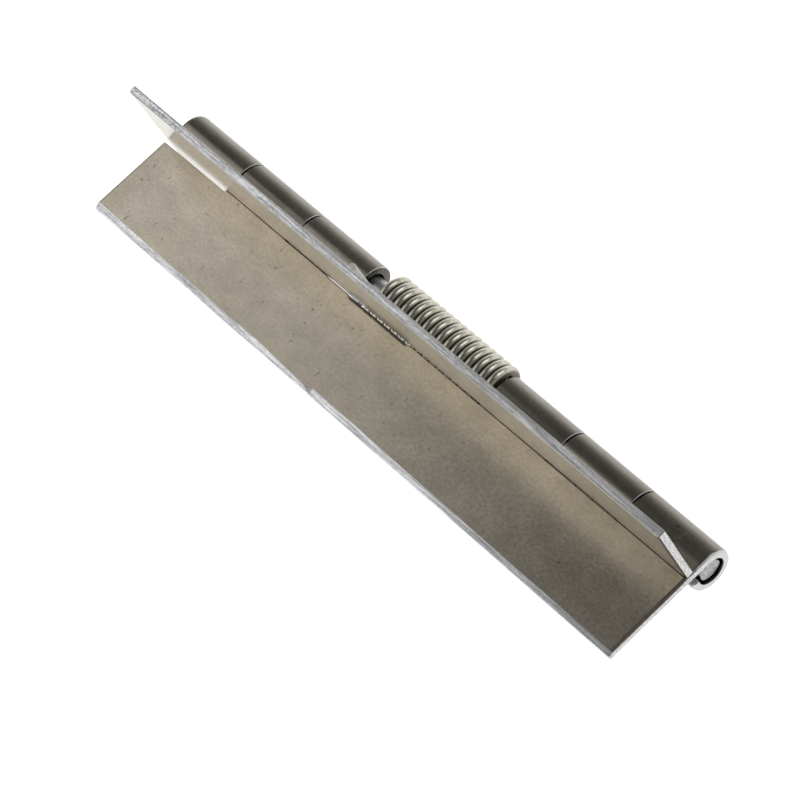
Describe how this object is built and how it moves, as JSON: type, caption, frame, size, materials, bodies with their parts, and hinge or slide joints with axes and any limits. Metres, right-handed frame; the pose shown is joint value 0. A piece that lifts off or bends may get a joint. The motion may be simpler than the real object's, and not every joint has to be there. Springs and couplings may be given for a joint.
{
  "type": "spring hinge",
  "caption": "Plain steel butt hinge with rolled knuckles on a loose pin and a torsion spring round the pin that swings its two undrilled leaves together.",
  "frame": {"origin": "middle of the fixed leaf's flat face, between its notch line and its free edge", "axes": "+X along the pin towards the spring's end that bears on a knuckle, +Y from the fixed leaf to the barrel, +Z out of the fixed leaf's flat face"},
  "size_m": [0.18, 0.0369, 0.0364],
  "materials": {
    "leaf_steel": "bare cold-rolled sheet with sheared edges",
    "pin_steel": "bare drawn rod with cropped ends",
    "spring_steel": "bright drawn spring wire"
  },
  "bodies": {
    "fixed": {"fixed_leaf": "leaf_steel", "hinge_pin": "pin_steel", "torsion_spring": "spring_steel"},
    "moving": {"moving_leaf": "leaf_steel"}
  },
  "joints": [
    {"name": "leaf_swing", "type": "hinge", "parent": "fixed", "child": "moving", "pos_m": [0, 0.0185, -0.0055], "axis": [-1, 0, 0], "range_deg": [0, 175], "stiffness_Nm_per_rad": 0.48, "springref_deg": -34.38, "deforming": ["torsion_spring"]}
  ]
}
